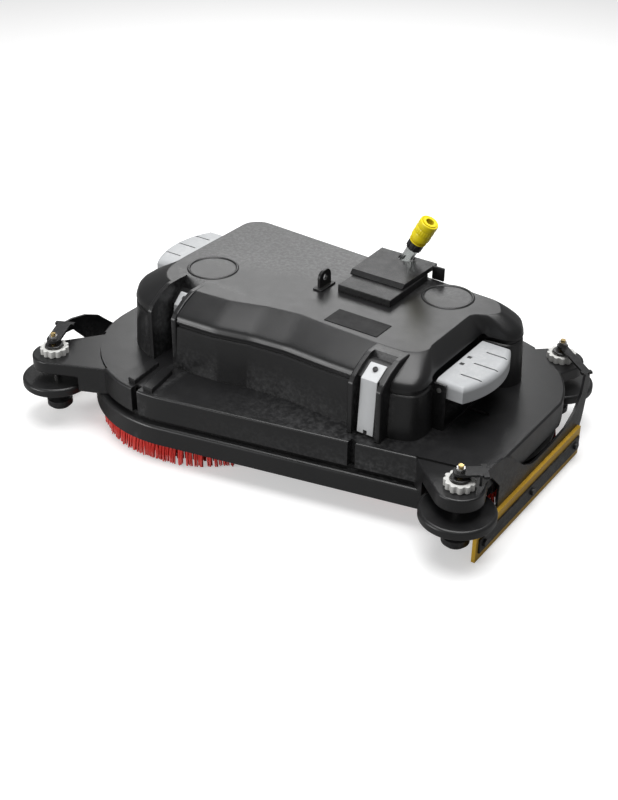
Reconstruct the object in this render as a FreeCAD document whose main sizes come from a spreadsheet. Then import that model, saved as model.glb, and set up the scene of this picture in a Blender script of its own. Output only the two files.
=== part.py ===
import FreeCAD, Part
import Sketcher
import math
import os

from FreeCAD import Placement, Rotation, Vector

# Twin-disc scrub head of a wet and dry floor scrubber. Millimetres, +Z up. The head is laid out from the
# point on the floor half way between the two brush axes, and its files are moved to the middle of its
# outer box at the end. +X is the right-hand end of the head, -Y is its front edge.

doc = FreeCAD.newDocument("scrub_head")
sheet = doc.addObject("Spreadsheet::Sheet", "Sizes")

DRIVING_SIZES = (
    # Brushes and drive
    ("brush_x", 183.5, "half the distance between the brush axes along X"),
    ("brush_y", 61, "half the stagger of the brush axes along Y"),
    ("brush_rad", 191, "bristle radius on the floor"),
    ("bristle_top_rad", 186, "bristle radius at the disc"),
    ("bristle_bore", 75, "radius of the bare middle of the brush"),
    ("bristle_len", 52, "bristle length"),
    ("disc_thick", 9, "brush disc thickness"),
    ("hub_rad", 42, "drive hub radius"),
    ("hub_deep", 22, "drive hub height"),
    ("shaft_rad", 12, "drive shaft radius"),
    ("bearing_rad", 28, "outer radius of the shaft bearing"),
    ("bearing_deep", 15, "bearing height"),
    ("gearbox_rad", 38, "gearbox radius round the brush shaft"),
    ("gearbox_tall", 34, "gearbox height"),
    ("motor_rad", 50, "motor radius"),
    ("motor_in", 22, "how far a motor stands inside its brush axis"),
    ("motor_tall", 44, "motor height"),
    ("running_gap", 0.06, "radial clearance of a running fit"),
    # Deck
    ("deck_top", 122, "height of the deck's upper face"),
    ("deck_wall", 5, "deck wall thickness"),
    ("deck_rad", 192, "radius of the deck round each brush"),
    ("rim_bottom", 80, "height of the lower edge of the deck rim"),
    ("deck_side", 371.5, "distance of the deck's straight right side from the middle"),
    ("deck_skew", 12.3, "angle of the front and rear edges, degrees"),
    ("skirt_out", 8, "how far the skirt stands out past the rim"),
    ("skirt_top", 72, "height of the skirt's shoulder"),
    ("skirt_bottom", 39, "height of the skirt's lower edge"),
    ("skirt_wall", 5, "skirt wall thickness"),
    ("neck_in", 7, "how far the neck above the skirt lies inside the rim"),
    # Corner ears, rollers and adjusters
    ("ear_drop", 3, "how far the ears lie below the deck top"),
    ("ear_thick", 21, "thickness of an ear's upper plate"),
    ("ear_nose", 37, "radius of an ear's nose"),
    ("roller_rad", 57, "corner roller radius"),
    ("roller_bottom", 63, "height of a roller's underside"),
    ("roller_thick", 16, "roller thickness"),
    ("pin_rad", 6, "roller pin radius"),
    ("pin_bottom", 18, "height of a roller pin's lower end"),
    ("retainer_rad", 21, "radius of the cap under a roller pin"),
    ("knob_rad", 23.5, "adjuster knob radius"),
    ("knob_thick", 11, "adjuster knob thickness"),
    ("rod_rad", 4, "threaded rod radius"),
    ("hook_height", 144, "height of the wiper plate's hooks"),
    # Side wipers
    ("wiper_gap", 5.5, "distance of the right wiper plate's middle outside the deck's side"),
    ("wiper_left_x", 405, "middle of the left wiper plate, measured to the left"),
    ("wiper_front", 178, "distance of the wiper's front end from the middle"),
    ("wiper_rear", 160, "distance of the wiper's rear end from the middle"),
    ("plate_thick", 4, "wiper plate thickness"),
    ("lip_thick", 6, "wiper lip thickness"),
    ("lip_tall", 52, "wiper lip height"),
    ("lip_rest", 2, "height of the lip above the floor in the middle setting"),
    ("strip_thick", 3, "clamp strip thickness"),
    ("strip_tall", 24, "clamp strip height"),
    # Hood
    ("hood_wall_top", 207, "height of the knee where the hood walls turn into the crown"),
    ("hood_draft", 5, "how far the hood's foot stands out past its knee"),
    ("hood_top", 238, "height of the hood's flat top"),
    ("hood_wall", 4, "hood wall thickness"),
    ("ring_rad", 41.5, "outer radius of the raised rings over the motors"),
    ("ring_high", 2, "height of the raised rings"),
    ("strap_right_x", 174, "middle of the right lift strap"),
    ("strap_left_x", 208, "middle of the left lift strap, measured to the left"),
    ("strap_wide", 28, "lift strap width"),
    ("strap_gap", 8, "space between a lift strap and the side of its channel"),
    ("strap_thick", 3, "lift strap thickness"),
    # Pedals
    ("pedal_long", 150, "pedal length"),
    ("pedal_wide", 57, "distance from the pedal's hinge to its outer edge"),
    ("pedal_thick", 26, "pedal thickness"),
    ("pedal_right_x", 251, "hinge of the right pedal"),
    ("pedal_left_x", 318, "hinge of the left pedal, measured to the left"),
    ("pedal_hinge_z", 190, "height of the pedal hinges"),
    ("pedal_pin_rad", 4, "pedal hinge pin radius"),
    # Water inlet
    ("inlet_x", 37, "foot of the inlet hose"),
    ("inlet_y", 157, "distance of the inlet behind the middle"),
    ("inlet_sink", 6, "depth of the inlet hose's foot below the hood's top"),
    ("inlet_lean", 28, "lean of the inlet towards +X, degrees"),
    ("hose_rad", 10, "inlet hose outer radius"),
    ("hose_bore", 7, "inlet hose inner radius"),
    ("hose_long", 62, "inlet hose length"),
    ("barrel_rad", 12, "outer radius of the coupling barrel"),
    ("nut_rad", 13.5, "union nut radius"),
    ("nut_long", 15, "union nut length"),
    ("sleeve_rad", 16, "coupling sleeve radius"),
    ("sleeve_long", 35, "coupling sleeve length"),
    ("sleeve_play", 5, "how far the coupling sleeve slides back"),
)

for row, (alias, number, note) in enumerate(DRIVING_SIZES, start=1):
    sheet.set(f"A{row}", note)
    sheet.set(f"B{row}", str(number))
    sheet.setAlias(f"B{row}", alias)
doc.recompute()


def size(alias):
    """Return a driving size from the sheet."""
    return float(sheet.get(alias))


nodes = []


def bound(obj, **expressions):
    """Bind properties of obj to the sheet; a double underscore in a key stands for a dot."""
    for key, expression in expressions.items():
        obj.setExpression(key.replace("__", "."), expression)
    return obj


def placed(obj, x="0", y="0", z="0"):
    """Bind the position of obj to the sheet."""
    return bound(obj, Placement__Base__x=x, Placement__Base__y=y, Placement__Base__z=z)


def node(obj, label):
    """Mark obj as a sub-part whose file is named label."""
    obj.Label = label
    nodes.append(obj)
    return obj


def box(wide, deep, tall, x, y, z):
    """A block bound to the sheet, by its lowest corner."""
    obj = bound(doc.addObject("Part::Box", "Block"), Length=wide, Width=deep, Height=tall)
    return placed(obj, x, y, z)


def cylinder(radius, tall, x="0", y="0", z="0"):
    """An upright cylinder bound to the sheet, by the centre of its foot."""
    obj = bound(doc.addObject("Part::Cylinder", "Round"), Radius=radius, Height=tall)
    return placed(obj, x, y, z)


def cut(base, tool):
    """Base without tool."""
    obj = doc.addObject("Part::Cut", "Cut")
    obj.Base = base
    obj.Tool = tool
    return obj


def fused(shapes):
    """Several overlapping objects as one."""
    obj = doc.addObject("Part::MultiFuse", "Fusion")
    obj.Shapes = shapes
    return obj


def grouped(shapes):
    """Several separate pieces as one sub-part."""
    obj = doc.addObject("Part::Compound", "Group")
    obj.Links = shapes
    return obj


def ring(outer, inner, tall, x="0", y="0", z="0"):
    """An upright ring bound to the sheet."""
    return cut(cylinder(outer, tall, x, y, z), cylinder(inner, tall, x, y, z))


def origin_plane(body, role):
    """The origin plane of a body with this role."""
    return next(feature for feature in body.Origin.OriginFeatures if feature.Role == role)


def outline_sketch(body, role, corners):
    """A closed outline whose corners are bound to the sheet."""
    sketch = body.newObject("Sketcher::SketchObject", "Outline")
    sketch.AttachmentSupport = [(origin_plane(body, role), "")]
    sketch.MapMode = "FlatFace"
    count = len(corners)
    seed = [Vector(10 * math.cos(2 * math.pi * k / count), 10 * math.sin(2 * math.pi * k / count), 0)
            for k in range(count)]
    for index in range(count):
        sketch.addGeometry(Part.LineSegment(seed[index], seed[(index + 1) % count]), False)
    bind_corners(sketch, corners)
    return sketch


def bind_corners(sketch, corners):
    """Join an outline's lines and bind every corner's two distances from the origin."""
    count = len(corners)
    for index in range(count):
        sketch.addConstraint(Sketcher.Constraint("Coincident", index, 2, (index + 1) % count, 1))
    for index, (across, up) in enumerate(corners):
        place = sketch.addConstraint(Sketcher.Constraint("DistanceX", index, 1, 1.0))
        sketch.setExpression(f"Constraints[{place}]", across)
        place = sketch.addConstraint(Sketcher.Constraint("DistanceY", index, 1, 1.0))
        sketch.setExpression(f"Constraints[{place}]", up)


def lathe(corners, x="0", y="0", z="0"):
    """A turned body: corners are (radius, height) pairs round the Z axis."""
    body = doc.addObject("PartDesign::Body", "Turned")
    sketch = outline_sketch(body, "XZ_Plane", corners)
    doc.recompute()
    turn = body.newObject("PartDesign::Revolution", "Turn")
    turn.Profile = sketch
    turn.ReferenceAxis = (sketch, ["V_Axis"])
    turn.Angle = 360
    sketch.Visibility = False
    return placed(body, x, y, z)


def prism(corners, role, length, x="0", y="0", z="0", midplane=False):
    """A padded body with a bound outline on one of its origin planes."""
    body = doc.addObject("PartDesign::Body", "Padded")
    sketch = outline_sketch(body, role, corners)
    doc.recompute()
    pad = body.newObject("PartDesign::Pad", "Pad")
    pad.Profile = sketch
    pad.Midplane = midplane
    bound(pad, Length=length)
    return placed(body, x, y, z)


def solid_feature(shape, label, place=Placement()):
    """A sub-part from a finished shape, set down at place."""
    obj = doc.addObject("Part::Feature", "Solid")
    obj.Shape = shape
    obj.Placement = place
    return node(obj, label)


def polygon_wire(corners, height):
    """A closed wire through plan corners at one height."""
    points = [Vector(x, y, height) for x, y in corners]
    return Part.makePolygon(points + points[:1])


def plan_prism(wire, tall):
    """A flat wire extruded upwards."""
    return Part.Face(wire).extrude(Vector(0, 0, tall))


# ---------------------------------------------------------------- places of the four corners
SIDES = (("left", -1), ("right", 1))
CORNERS = {
    # corner: (x, y of the roller axis), (x, y and radius of the ear's root)
    "left_front": ((-380, -234), (-292, -165, 66)),
    "left_rear": ((-348, 179), (-290, 100, 60)),
    "right_front": ((348, -179), (292, -100, 62)),
    "right_rear": ((308, 232), (250, 150, 60)),
}
POCKET_GAP = 5.5


def brush_centre(sign):
    """Plan position of a brush axis."""
    return Vector(sign * size("brush_x"), sign * size("brush_y"), 0)


def brush_place(sign):
    """Expressions for the plan position of a brush axis."""
    return f"{sign} * Sizes.brush_x", f"{sign} * Sizes.brush_y"


# ---------------------------------------------------------------- deck
def deck_wire(offset, height):
    """The deck's plan: two arcs round the brushes, skewed front and rear edges, straight ends."""
    radius = size("deck_rad") + offset
    skew = math.radians(size("deck_skew"))
    centre = brush_centre(1)
    side = centre.x + radius
    tangent = centre + Vector(-math.sin(skew) * radius, math.cos(skew) * radius, 0)
    far = Vector(-side, tangent.y - (tangent.x + side) * math.tan(skew), 0)
    half_turn = math.radians(45) + skew / 2
    middle = centre + Vector(math.cos(half_turn) * radius, math.sin(half_turn) * radius, 0)
    rear = [Vector(side, centre.y, 0), middle, tangent, far]
    lift = Vector(0, 0, height)
    start, bend, end, corner = (point + lift for point in rear)
    low_start, low_bend, low_end, low_corner = (lift - point for point in rear)
    edges = [
        Part.Arc(start, bend, end).toShape(),
        Part.makeLine(end, corner),
        Part.makeLine(corner, low_start),
        Part.Arc(low_start, low_bend, low_end).toShape(),
        Part.makeLine(low_end, low_corner),
        Part.makeLine(low_corner, start),
    ]
    return Part.Wire(edges)


def roller_pockets(bottom, top):
    """The clear space round each corner roller."""
    radius = size("roller_rad") + POCKET_GAP
    return [Part.makeCylinder(radius, top - bottom, Vector(x, y, bottom))
            for (x, y), _ in CORNERS.values()]


def ear_form(corner, bottom, top):
    """An ear's plan, from its nose to its root in the deck, extruded."""
    (nose_x, nose_y), (root_x, root_y, root_rad) = CORNERS[corner]
    nose = Vector(nose_x, nose_y, bottom)
    root = Vector(root_x, root_y, bottom)
    span = root - nose
    lean = math.asin((root_rad - size("ear_nose")) / span.Length)
    heading = math.atan2(span.y, span.x)
    sides = []
    for turn in (1, -1):
        angle = heading + turn * (math.pi / 2 + lean)
        across = Vector(math.cos(angle), math.sin(angle), 0)
        sides.append((nose + across * size("ear_nose"), root + across * root_rad))
    corners = [sides[0][0], sides[0][1], sides[1][1], sides[1][0]]
    tall = top - bottom
    middle = Part.Face(Part.makePolygon(corners + corners[:1])).extrude(Vector(0, 0, tall))
    nose_round = Part.makeCylinder(size("ear_nose"), tall, nose)
    root_round = Part.makeCylinder(root_rad, tall, root)
    return nose_round.fuse([middle, root_round]).removeSplitter()


def slab(wire_offset, bottom, top):
    """The deck plan, offset and extruded; the wiper plate takes the skirt's place on the right."""
    side = size("deck_side") + min(wire_offset, 0)
    keep = Part.makeBox(side + 500, 1000, top - bottom, Vector(-500, -500, bottom))
    return plan_prism(deck_wire(wire_offset, bottom), top - bottom).common(keep)


# Slots through the deck's front wall: (left side, rear end); the pads stand on both sides of the left one.
DECK_NOTCHES = ((-198, -238), (162, -170))
NOTCH_WIDE = 12
NOTCH_REACH = 45
DECK_PADS = (
    ((-225, -172), (-215, -238), (-200, -240), (-207, -174)),
    ((-191, -181), (-178, -246), (-160, -246), (-173, -181)),
)
PAD_HIGH = 8
PAD_BEVEL = 1
# Slot under the right pedal: (middle x, middle y, length, width).
PEDAL_SLOT = (269, 4, 54, 11)


def round_slot(slot, bottom, tall):
    """A slot along X with round ends, as a solid."""
    x, y, long, wide = slot
    straight = long - wide
    middle = Part.makeBox(straight, wide, tall, Vector(x - straight / 2, y - wide / 2, bottom))
    ends = [Part.makeCylinder(wide / 2, tall, Vector(x + way * straight / 2, y, bottom)) for way in (-1, 1)]
    return middle.fuse(ends)


def make_deck():
    """Deck housing: top plate, rim wall and inset neck, open underneath."""
    top = size("deck_top")
    wall = size("deck_wall")
    neck = size("neck_in")
    skirt = size("skirt_top")
    rim = slab(0, size("rim_bottom"), top)
    rim = rim.makeFillet(3.5, [edge for edge in rim.Edges if edge.BoundBox.ZMin > top - 0.1])
    body = rim.fuse(slab(-neck, skirt, size("rim_bottom")))
    body = body.cut(slab(-neck - wall, skirt, top - wall))
    for pocket in roller_pockets(skirt, top - size("ear_drop") - size("ear_thick")):
        body = body.cut(pocket)
    for corner in CORNERS:
        body = body.cut(ear_form(corner, skirt, top + 1).common(
            slab(40, skirt, top + 1).cut(slab(-wall, skirt, top + 1))))
    for _, sign in SIDES:
        centre = brush_centre(sign)
        seat = centre + Vector(0, 0, top - wall - 1)
        body = body.cut(Part.makeCylinder(size("bearing_rad"), wall * 2, seat))
    body = body.cut(round_slot(PEDAL_SLOT, top - wall - 1, wall + 2))
    for notch_x, notch_rear in DECK_NOTCHES:
        body = body.cut(Part.makeBox(NOTCH_WIDE, NOTCH_REACH, top, Vector(notch_x, notch_rear - NOTCH_REACH,
                                                                          size("rim_bottom") - 1)))
    for outline in DECK_PADS:
        pad = plan_prism(polygon_wire(outline, top - wall), wall + PAD_HIGH)
        pad = pad.makeChamfer(PAD_BEVEL, [edge for edge in pad.Edges
                                          if edge.BoundBox.ZMin > top + PAD_HIGH - 0.1])
        body = body.fuse(pad)
    solid_feature(max(body.Solids, key=lambda piece: piece.Volume), "deck_housing")


def make_skirt():
    """Bumper skirt: a ring with a rounded shoulder below the rim, open at the roller pockets."""
    bottom = size("skirt_bottom")
    top = size("skirt_top")
    out = size("skirt_out")
    outer = slab(out, bottom, top)
    outer = outer.makeFillet(6, [edge for edge in outer.Edges if edge.BoundBox.ZMin > top - 0.1])
    body = outer.cut(slab(out - size("skirt_wall"), bottom, top - size("skirt_wall")))
    inside = -size("neck_in") - size("deck_wall")
    body = body.cut(slab(inside, bottom, top))
    for pocket in roller_pockets(bottom, top):
        body = body.cut(pocket)
    solid_feature(max(body.Solids, key=lambda piece: piece.Volume), "bumper_skirt")


def make_ears():
    """Four corner ears with a pocket for the roller and a bored seat for the adjuster."""
    top = size("deck_top") - size("ear_drop")
    floor = top - size("ear_thick")
    for corner, ((x, y), _) in CORNERS.items():
        form = ear_form(corner, size("skirt_top"), top)
        form = form.makeFillet(3, [edge for edge in form.Edges if edge.BoundBox.ZMin > top - 0.1])
        wall = size("deck_wall")
        form = form.cut(slab(-wall, size("skirt_top"), top + 1))
        form = form.cut(Part.makeCylinder(size("roller_rad") + POCKET_GAP, floor - size("skirt_top"),
                                          Vector(x, y, size("skirt_top"))))
        form = form.cut(Part.makeCylinder(size("pin_rad"), 8, Vector(x, y, floor)))
        form = form.cut(Part.makeCylinder(size("rod_rad") + 1, size("ear_thick"), Vector(x, y, floor + 9)))
        solid_feature(max(form.Solids, key=lambda piece: piece.Volume), f"ear_{corner}")


# ---------------------------------------------------------------- hood
# Plan corners: (x, y) of the wall at its knee, then (x, y) of the flat top's edge.
HOOD_PLAN = (
    ((-176, -157), (-172, -104)),
    ((-110, -153), (-112, -99)),
    ((-46, -139), (-50, -80)),
    ((14, -133), (2, -72)),
    ((89, -136), (62, -77)),
    ((205, -136), (182, -82)),
    ((238, -122), (210, -70)),
    ((243, -95), (218, -52)),
    ((236, -62), (214, -40)),
    ((236, 87), (214, 80)),
    ((278, 92), (240, 96)),
    ((288, 118), (250, 110)),
    ((262, 166), (230, 142)),
    ((-262, 184), (-254, 174)),
    ((-284, 162), (-275, 156)),
    ((-284, -20), (-275, -24)),
    ((-318, -40), (-272, -46)),
    ((-318, -85), (-264, -78)),
    ((-288, -132), (-242, -100)),
    ((-236, -157), (-208, -104)),
)
# Embossed rings on the top: plan centres.
RING_CENTRES = ((-209, -26), (157, 109))
RING_WIDE = 3
FLANGE_THICK = 7
FLANGE_FRONT = -160
NICHE_DEEP = 23
NICHE_END_GAP = 8


def wall_wires(inset):
    """Plan wires of the hood's wall and of its top's edge, moved in by inset."""
    wires = [polygon_wire([pair[level] for pair in HOOD_PLAN], 0) for level in (0, 1)]
    if inset:
        wires = [wire.makeOffset2D(-inset, join=2) for wire in wires]
    return wires


def raised(wire, height):
    """A plan wire as a polygon at this height."""
    points = [Vector(vertex.Point.x, vertex.Point.y, height) for vertex in wire.OrderedVertexes]
    return Part.makePolygon(points + points[:1])


def hood_form(inset, bottom):
    """The hood's outer form, or its hollow when inset is positive: drafted walls and a sloping crown."""
    knee = size("hood_wall_top")
    wall_wire, top_wire = wall_wires(inset)
    foot_wire = wall_wire.makeOffset2D(size("hood_draft"), join=2)
    walls = Part.makeLoft([raised(foot_wire, bottom), raised(wall_wire, knee)], True, True)
    crown = Part.makeLoft([raised(wall_wire, knee), raised(top_wire, size("hood_top") - inset)], True, True)
    return walls.fuse(crown)


def pedal_middle(sign):
    """Y position of a pedal's middle."""
    return 3 if sign > 0 else 75


def niche(sign, grow):
    """The open space of a pedal in the side of the hood."""
    hinge = size("pedal_right_x") if sign > 0 else size("pedal_left_x")
    half = size("pedal_long") / 2 + NICHE_END_GAP + grow
    inner = sign * (hinge - NICHE_DEEP - grow)
    outer = sign * (hinge + 2 * size("pedal_wide"))
    foot = size("deck_top") - 2 * size("hood_wall")
    return Part.makeBox(abs(outer - inner), 2 * half, size("hood_wall_top") + 3 + grow - foot,
                        Vector(min(inner, outer), pedal_middle(sign) - half, foot))


# Lift strap faces as (y, z) of the foot, the fold and the top end.
STRAP_LINES = {
    1: ((-155, 126), (-148, 215), (-123, 229)),
    -1: ((-121, 150), (-113, 204), (-95, 219)),
}


def strap_x(sign):
    """X position of a strap's middle."""
    return size("strap_right_x") if sign > 0 else -size("strap_left_x")


def channel(sign, grow):
    """The groove in the hood that holds a lift strap, with a pocket above the strap's end."""
    half = size("strap_wide") / 2 + size("strap_gap") + grow
    back = size("strap_thick") + grow
    foot, fold, end = STRAP_LINES[sign]
    high = size("hood_top") + 20
    profile = [
        (FLANGE_FRONT - 40, 90),
        (foot[0] + back - 3, 90),
        (foot[0] + back, foot[1]),
        (fold[0] + back, fold[1] - grow),
        (end[0] + back, end[1] - grow),
        (end[0] + back + 20, end[1] - 2 - grow),
        (end[0] + back + 32, high),
        (FLANGE_FRONT - 40, high),
    ]
    points = [Vector(strap_x(sign) - half, y, z) for y, z in profile]
    return Part.Face(Part.makePolygon(points + points[:1])).extrude(Vector(2 * half, 0, 0))


def rib_profile():
    """Side view (y, z) of the raised block round a strap: upright, then sloping back into the crown."""
    bottom, knee, top = size("deck_top"), size("hood_wall_top"), size("hood_top")
    return [
        (FLANGE_FRONT, bottom),
        (FLANGE_FRONT + 65, bottom),
        (FLANGE_FRONT + 78, top),
        (FLANGE_FRONT + 48, top),
        (FLANGE_FRONT + 26, knee + 23),
        (FLANGE_FRONT + 6, knee + 10),
        (FLANGE_FRONT, knee + 1),
    ]


def make_hood():
    """Hood: a moulded cover over the motors with strap channels, pedal niches and raised rings."""
    wall = size("hood_wall")
    bottom = size("deck_top")
    outer = hood_form(0, bottom)
    inner = hood_form(wall, bottom - 1)
    for _, sign in SIDES:
        flange_half = size("strap_wide") / 2 + size("strap_gap") + FLANGE_THICK
        corners = [Vector(strap_x(sign) - flange_half, y, z) for y, z in rib_profile()]
        rib = Part.Face(Part.makePolygon(corners + corners[:1])).extrude(Vector(2 * flange_half, 0, 0))
        outer = outer.fuse(rib).cut(channel(sign, 0)).cut(niche(sign, 0))
        inner = inner.cut(channel(sign, wall)).cut(niche(sign, wall))
    body = outer.cut(inner)
    for x, y in RING_CENTRES:
        centre = Vector(x, y, size("hood_top") - 1)
        disc = Part.makeCylinder(size("ring_rad"), size("ring_high") + 1, centre)
        middle = Part.makeCylinder(size("ring_rad") - RING_WIDE, size("ring_high") + 1, centre)
        body = body.fuse(disc.cut(middle))
    outlet = Part.makeCylinder(size("hose_rad"), 60, inlet_point(-30), inlet_axis())
    body = body.cut(outlet)
    solid_feature(max(body.Solids, key=lambda piece: piece.Volume), "hood")


# ---------------------------------------------------------------- lift straps and brackets
def make_straps():
    """Lift straps: bent steel strips up the front of the hood, folded back at the top, with a screw."""
    thick = size("strap_thick")
    half = size("strap_wide") / 2
    screws = []
    for side, sign in SIDES:
        foot, fold, end = STRAP_LINES[sign]
        front = [Vector(strap_x(sign) - half, y, z) for y, z in (foot, fold, end)]
        lean = (front[2] - front[1]).normalize()
        up = Vector(0, -lean.z, lean.y)
        corners = front + [point + Vector(0, thick, 0) for point in reversed(front)]
        strap = Part.Face(Part.makePolygon(corners + corners[:1])).extrude(Vector(2 * half, 0, 0))
        notch = Part.makeBox(STRAP_NOTCH, 3 * thick, STRAP_NOTCH * 2,
                             Vector(strap_x(sign) - STRAP_NOTCH / 2, foot[0] - thick, foot[1] - STRAP_NOTCH))
        solid_feature(strap.cut(notch), f"lift_strap_{side}")
        seat = front[2] - lean * STRAP_SCREW_IN + Vector(half, 0, 0)
        screws.append(Part.makeCylinder(STRAP_SCREW_RAD, 2.5, seat, up))
    solid_feature(Part.makeCompound(screws), "strap_screws")


STRAP_NOTCH = 6
STRAP_SCREW_IN = 9
STRAP_SCREW_RAD = 4
# Top fittings: plan boxes as (x, y, wide, deep) and heights above the hood's top.
LUG_FOOT = (-31, 5, 17, 40)
LUG_PLATE = (-25, 9, 5, 32)
LUG_HIGH = 30
LUG_HOLE = (25, 18)
LUG_BORE_RAD = 5.5
BASE_PLAN = (4, 24, 98, 116)
BASE_HIGH = 12
COVER_PLAN = ((0, 66), (98, 66), (102, 168), (-4, 168))
COVER_HIGH = 8
COVER_BEVEL = 6
FLANGE_PLAN = (103, 150, 22, 4)
FLANGE_HIGH = 23
LABEL_PLAN = (41, -69, 95, 43)
LABEL_THICK = 0.8


def slab_on_top(plan, high, label):
    """A block on the hood's top from its plan box."""
    x, y, wide, deep = (str(value) for value in plan)
    return node(box(wide, deep, str(high), x, y, "Sizes.hood_top"), label)


def make_top_fittings():
    """Lug with a hole, two-level folded bracket plate and blank label plate on the hood's top."""
    top = size("hood_top")
    foot = Part.makeBox(LUG_FOOT[2], LUG_FOOT[3], 3, Vector(LUG_FOOT[0], LUG_FOOT[1], top))
    x, y, thick, deep = LUG_PLATE
    plate = Part.makeBox(thick, deep, LUG_HIGH, Vector(x, y, top))
    upper = [edge for edge in plate.Edges
             if edge.BoundBox.ZMin > top + LUG_HIGH - 1 and edge.BoundBox.XLength > 1]
    plate = plate.makeFillet(deep * 0.4, upper)
    bore = Part.makeCylinder(LUG_BORE_RAD, 3 * thick, Vector(x - thick, LUG_HOLE[0], top + LUG_HOLE[1]),
                             Vector(1, 0, 0))
    solid_feature(foot.fuse(plate).cut(bore).removeSplitter(), "lifting_lug")
    slab_on_top(BASE_PLAN, BASE_HIGH, "bracket_base")
    cover = plan_prism(polygon_wire(COVER_PLAN, top + BASE_HIGH), COVER_HIGH)
    cover = cover.makeChamfer(COVER_BEVEL, [edge for edge in cover.Edges
                                            if edge.BoundBox.ZMin > top + BASE_HIGH + COVER_HIGH - 1
                                            and edge.BoundBox.YMax < COVER_PLAN[0][1] + 1])
    passage = Part.makeCylinder(size("hose_rad") + 3, 80, inlet_point(-10), inlet_axis())
    solid_feature(cover.cut(passage), "bracket_cover")
    slab_on_top(FLANGE_PLAN, FLANGE_HIGH, "bracket_flange")
    slab_on_top(LABEL_PLAN, LABEL_THICK, "label_plate")


# ---------------------------------------------------------------- rollers and adjusters
ROLLER_ROUND = 3
COLLAR_TALL = 6
COLLAR_STEP = 4
END_PLAY = 0.3
PIN_IN_EAR = 7
CAP_TALL = 20
CAP_BEVEL = 5
KNOB_LIFT = 0.4
LOBES = 12
LOBE_RAD = 4.2
DISH_DEEP = 4


def make_corner(corner, x, y):
    """Roller, pin, retaining cap and adjuster knob of one corner."""
    place = (f"{x}", f"{y}")
    rim = f"Sizes.roller_rad - {ROLLER_ROUND}"
    roller_top = "Sizes.roller_thick"
    roller = lathe([
        ("Sizes.pin_rad + Sizes.running_gap", "0"),
        (rim, "0"),
        ("Sizes.roller_rad", f"{ROLLER_ROUND}"),
        ("Sizes.roller_rad", f"{roller_top} - {ROLLER_ROUND}"),
        (rim, roller_top),
        ("Sizes.pin_rad + Sizes.running_gap", roller_top),
    ], *place, "Sizes.roller_bottom")
    node(roller, f"corner_roller_{corner}")
    ear_floor = "Sizes.deck_top - Sizes.ear_drop - Sizes.ear_thick"
    pin = lathe([
        ("0", "Sizes.pin_bottom"),
        ("Sizes.pin_rad", "Sizes.pin_bottom"),
        ("Sizes.pin_rad", f"Sizes.roller_bottom - {COLLAR_TALL}"),
        (f"Sizes.pin_rad + {COLLAR_STEP}", f"Sizes.roller_bottom - {COLLAR_TALL}"),
        (f"Sizes.pin_rad + {COLLAR_STEP}", f"Sizes.roller_bottom - {END_PLAY}"),
        ("Sizes.pin_rad", f"Sizes.roller_bottom - {END_PLAY}"),
        ("Sizes.pin_rad", f"{ear_floor} + {PIN_IN_EAR}"),
        ("0", f"{ear_floor} + {PIN_IN_EAR}"),
    ], *place)
    cap = lathe([
        ("Sizes.pin_rad", "Sizes.pin_bottom"),
        (f"Sizes.retainer_rad - {CAP_BEVEL}", "Sizes.pin_bottom"),
        ("Sizes.retainer_rad", f"Sizes.pin_bottom + {CAP_BEVEL}"),
        ("Sizes.retainer_rad", f"Sizes.pin_bottom + {CAP_TALL} - {CAP_BEVEL}"),
        ("Sizes.pin_rad", f"Sizes.pin_bottom + {CAP_TALL}"),
    ], *place)
    seat = f"Sizes.deck_top - Sizes.ear_drop + {KNOB_LIFT}"
    lobes = []
    for lobe in range(LOBES):
        turn = 2 * math.pi * lobe / LOBES
        lobes.append(cylinder(f"{LOBE_RAD}", "Sizes.knob_thick",
                              f"{x} + (Sizes.knob_rad - {LOBE_RAD}) * {math.cos(turn):.5f}",
                              f"{y} + (Sizes.knob_rad - {LOBE_RAD}) * {math.sin(turn):.5f}", seat))
    wheel = cylinder("Sizes.knob_rad - 3", "Sizes.knob_thick", *place, seat)
    hub = cylinder("Sizes.rod_rad + 4", "Sizes.knob_thick + 3", *place, seat)
    dish = cut(fused([wheel] + lobes),
               ring("Sizes.knob_rad - 8", "Sizes.rod_rad + 3.5", f"{DISH_DEEP}", *place,
                    f"{seat} + Sizes.knob_thick - {DISH_DEEP}"))
    bore = cylinder("Sizes.rod_rad + Sizes.running_gap", "Sizes.knob_thick + 6", *place, f"{seat} - 1")
    node(cut(fused([dish, hub]), bore), f"adjuster_knob_{corner}")
    return pin, cap


def make_corners():
    """All four corners; the fixed pins and caps are groups of separate solids."""
    pins = []
    caps = []
    for corner, ((x, y), _) in CORNERS.items():
        pin, cap = make_corner(corner, x, y)
        pins.append(pin)
        caps.append(cap)
    node(grouped(pins), "roller_pins")
    node(grouped(caps), "roller_caps")


# ---------------------------------------------------------------- side wipers
# Side view of a wiper plate: (distance behind the middle, height); both ends pass under a roller.
PLATE_PROFILE = (
    (-176, 22), (-176, 48), (-114, 48), (-114, 94), (-142, 124),
    (-173, 126), (-173, 144), (-141, 144), (-110, 138),
    (-79, 124), (-56, 103), (-36, 86), (-10, 73), (7, 70), (60, 70), (110, 74), (140, 88), (160, 112),
    (166, 144), (184, 144), (184, 104), (174, 60), (158, 22),
)


WIPER_LEFT_SHIFT = -24
HOOK_REACH = {"front": (-173, -141), "rear": (166, 184)}


def wiper_y(sign, distance):
    """Y position along a wiper: the left one stands further forward than the right one."""
    return distance if sign > 0 else distance + WIPER_LEFT_SHIFT


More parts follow.
